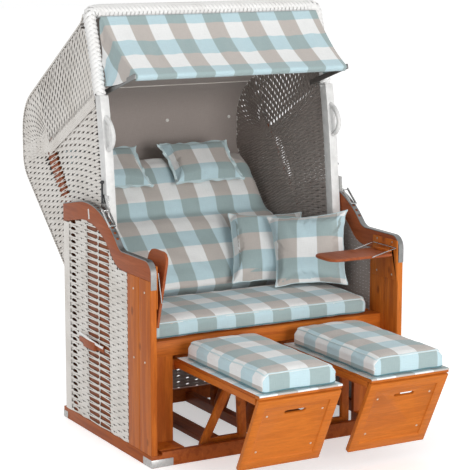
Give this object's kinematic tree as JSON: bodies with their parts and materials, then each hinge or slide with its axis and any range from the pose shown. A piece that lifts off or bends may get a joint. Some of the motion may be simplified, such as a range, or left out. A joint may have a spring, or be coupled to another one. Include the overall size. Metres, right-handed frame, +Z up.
{
  "type": "hooded beach chair",
  "caption": "Two-seat hooded beach chair with a tilting wicker hood, fabric awning, sliding footrests, folding side tables and loose cushions.",
  "frame": {"origin": "on the floor, at the middle of the base, on the underside of the centre truss", "axes": "+Y towards the back of the hood, -Y the way the chair faces, +X to the sitter's left, which is the viewer's right, +Z up"},
  "size_m": [1.1446, 1.793, 1.684],
  "materials": {
    "wood": "clear oiled hardwood, orange brown",
    "dark_wood": "brown impregnated softwood",
    "arm_wood": "oiled hardwood, red brown",
    "white_wicker": "woven plastic strand, off-white",
    "taupe_wicker": "board faced with woven plastic strand, taupe",
    "taupe_lining": "stretched lining cloth, taupe",
    "white_metal": "white powder coat",
    "rail_steel": "stainless strip",
    "chrome": "bright plated wire and strip",
    "black_metal": "black satin",
    "check_fabric": "woven check in white, light blue, taupe and grey green over foam"
  },
  "bodies": {
    "base": {"floor_frame": "dark_wood", "centre_truss": "dark_wood", "front_boards_left": "wood", "front_boards_right": "wood", "cheek_board_left": "wood", "cheek_board_right": "wood", "arm_left": "arm_wood", "arm_right": "arm_wood", "arm_rail_left": "rail_steel", "arm_rail_right": "rail_steel", "side_panel_left": "white_wicker", "side_panel_right": "white_wicker", "side_frame_left": "wood", "side_frame_right": "wood", "rear_panel": "wood", "seat_frame": "wood", "footrest_guide_left": "dark_wood", "footrest_guide_right": "dark_wood", "hood_pivot_left": "rail_steel", "hood_pivot_right": "rail_steel", "table_bracket_left": "wood", "table_bracket_right": "wood", "side_handle_left": "arm_wood", "side_handle_right": "arm_wood", "seat_cushion": "check_fabric", "throw_pillow_left": "check_fabric", "throw_pillow_right": "check_fabric"},
    "hood": {"hood_wall_left": "white_wicker", "hood_wall_right": "white_wicker", "hood_lining_left": "taupe_wicker", "hood_lining_right": "taupe_wicker", "hood_shell": "white_wicker", "hood_shell_lining": "taupe_lining", "hood_frame": "white_metal", "lock_bracket_left": "chrome", "lock_bracket_right": "chrome", "back_cushion": "check_fabric", "head_pillow_left": "check_fabric", "head_pillow_right": "check_fabric", "awning_cloth": "check_fabric"},
    "awning": {"awning_frame": "white_metal"},
    "bail_left": {"lock_bail_left": "chrome"},
    "bail_right": {"lock_bail_right": "chrome"},
    "rod_left": {"pull_rod_left": "black_metal"},
    "rod_right": {"pull_rod_right": "black_metal"},
    "wire_left": {"table_wire_left": "chrome"},
    "wire_right": {"table_wire_right": "chrome"},
    "table_left": {"table_board_left": "wood"},
    "table_right": {"table_board_right": "wood"},
    "footrest_left": {"footrest_frame_left": "wood", "footrest_deck_left": "wood", "footrest_panel_left": "wood", "footrest_leg_left": "wood", "foot_cushion_left": "check_fabric"},
    "footrest_right": {"footrest_frame_right": "wood", "footrest_deck_right": "wood", "footrest_panel_right": "wood", "footrest_leg_right": "wood", "foot_cushion_right": "check_fabric"}
  },
  "joints": [
    {"name": "hood_tilt", "type": "hinge", "parent": "base", "child": "hood", "pos_m": [0, 0.165, 0.535], "axis": [1, 0, 0], "range_deg": [-38, 8.4]},
    {"name": "awning_swing", "type": "hinge", "parent": "hood", "child": "awning", "pos_m": [0, 0.163, 1.346], "axis": [1, 0, 0], "range_deg": [-72, 0], "deforming": ["awning_cloth"]},
    {"name": "bail_lift_left", "type": "hinge", "parent": "hood", "child": "bail_left", "pos_m": [-0.5455, 0.0047, 0.9127], "axis": [1, 0, 0], "range_deg": [-80, 0]},
    {"name": "bail_lift_right", "type": "hinge", "parent": "hood", "child": "bail_right", "pos_m": [0.5455, 0.0047, 0.9127], "axis": [1, 0, 0], "range_deg": [-80, 0]},
    {"name": "rod_pull_left", "type": "slide", "parent": "hood", "child": "rod_left", "axis": [0, 0, 1], "range_m": [0, 0.012], "stiffness_N_per_m": 150},
    {"name": "rod_pull_right", "type": "slide", "parent": "hood", "child": "rod_right", "axis": [0, 0, 1], "range_m": [0, 0.012], "stiffness_N_per_m": 150},
    {"name": "table_fold_left", "type": "hinge", "parent": "base", "child": "wire_left", "pos_m": [-0.5237, -0.319, 0.736], "axis": [0, 1, 0], "range_deg": [-69, 0]},
    {"name": "table_fold_right", "type": "hinge", "parent": "base", "child": "wire_right", "pos_m": [0.5237, -0.319, 0.736], "axis": [0, 1, 0], "range_deg": [-69, 0]},
    {"name": "table_turn_left", "type": "hinge", "parent": "wire_left", "child": "table_left", "pos_m": [-0.51, -0.319, 0.6248], "axis": [0, 1, 0], "range_deg": [0, 149.5]},
    {"name": "table_turn_right", "type": "hinge", "parent": "wire_right", "child": "table_right", "pos_m": [0.415, -0.319, 0.7089], "axis": [0, 1, 0], "range_deg": [0, 149.5]},
    {"name": "footrest_slide_left", "type": "slide", "parent": "base", "child": "footrest_left", "axis": [0, 1, 0], "range_m": [0, 0.5], "deforming": ["foot_cushion_left"]},
    {"name": "footrest_slide_right", "type": "slide", "parent": "base", "child": "footrest_right", "axis": [0, 1, 0], "range_m": [0, 0.5], "deforming": ["foot_cushion_right"]}
  ],
  "couplings": [
    {"joint": "table_turn_left", "follows": "table_fold_left", "ratio": -2.166},
    {"joint": "table_turn_right", "follows": "table_fold_right", "ratio": -2.166}
  ]
}
